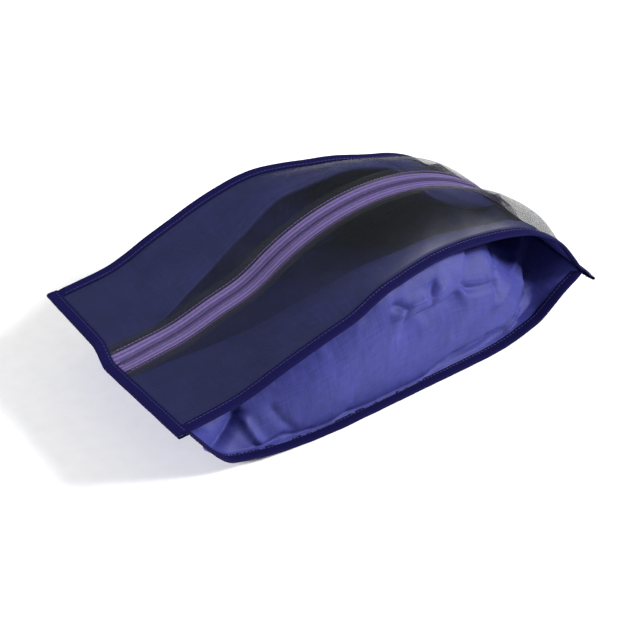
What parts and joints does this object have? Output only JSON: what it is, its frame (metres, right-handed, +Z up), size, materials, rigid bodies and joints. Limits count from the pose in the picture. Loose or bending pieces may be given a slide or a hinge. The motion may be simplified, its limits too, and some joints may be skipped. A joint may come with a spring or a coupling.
{
  "type": "shoe bag",
  "caption": "Travel shoe bag with a clear film top in two halves, a centre zipper with a running slider, side gussets that fold inwards, a fabric base and bound seams.",
  "frame": {"origin": "middle of the base's underside, on the plane the bag rests on", "axes": "+X along the zipper towards its closed end, +Y across the bag towards its far gusset, +Z up"},
  "size_m": [0.3783, 0.1997, 0.1196],
  "materials": {
    "fabric": "fine coated taffeta with a soft sheen",
    "film": "clear vinyl film with a slight grey haze",
    "zipper_tape": "ribbed woven tape",
    "zipper_coil": "nylon coil",
    "slider": "enamelled to match the tape",
    "binding": "ribbed binding tape"
  },
  "bodies": {
    "bag": {"bottom_panel": "fabric", "gusset_near": "fabric", "gusset_far": "fabric", "window_near": "film", "window_far": "film", "zipper_tape_near": "zipper_tape", "zipper_tape_far": "zipper_tape", "zipper_coil_near": "zipper_coil", "zipper_coil_far": "zipper_coil", "binding_top_near": "binding", "binding_top_far": "binding", "binding_bottom_near": "binding", "binding_bottom_far": "binding", "binding_end_left": "binding", "binding_end_right": "binding"},
    "slider": {"slider_body": "slider"},
    "pull": {"pull_tab": "slider"}
  },
  "joints": [
    {"name": "slider_travel", "type": "hinge", "parent": "bag", "child": "slider", "pos_m": [0.038, 0, -0.053], "axis": [0, 1, 0], "range_deg": [-80, 0]},
    {"name": "pull_flip", "type": "hinge", "parent": "slider", "child": "pull", "pos_m": [0.16988, 0, 0.0602], "axis": [0, 1, 0], "range_deg": [-175, 0]}
  ]
}
